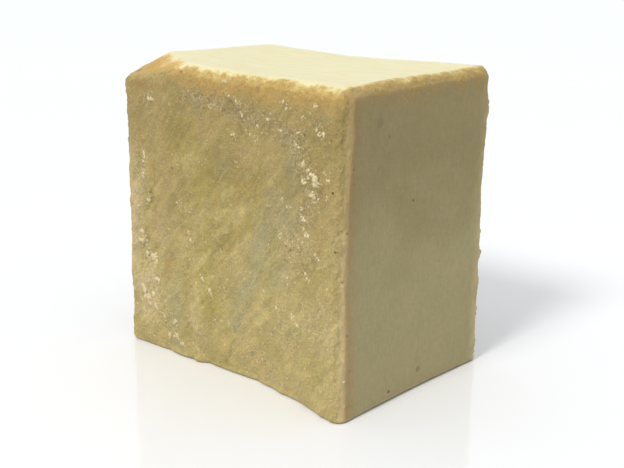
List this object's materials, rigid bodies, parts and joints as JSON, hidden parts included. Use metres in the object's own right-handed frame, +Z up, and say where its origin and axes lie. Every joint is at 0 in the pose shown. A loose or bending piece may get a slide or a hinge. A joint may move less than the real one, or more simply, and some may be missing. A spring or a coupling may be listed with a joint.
{
  "type": "bar of soap",
  "caption": "Hand-cut block of olive-oil soap standing on its end, with a hollow waxy broad face, smooth matte ends, a pale crown and a broken upper corner, for washing.",
  "frame": {"origin": "middle of the base that the block stands on", "axes": "+Z up; the broad hollow face looks along -Y; the smooth narrow end beside its right-hand edge looks along +X"},
  "size_m": [0.0678, 0.0491, 0.0673],
  "materials": {
    "soap": "dry waxy olive-beige soap, matte on the ends, slightly glossy and torn on the broad face"
  },
  "bodies": {
    "root": {"soap_bar": "soap"}
  },
  "joints": []
}
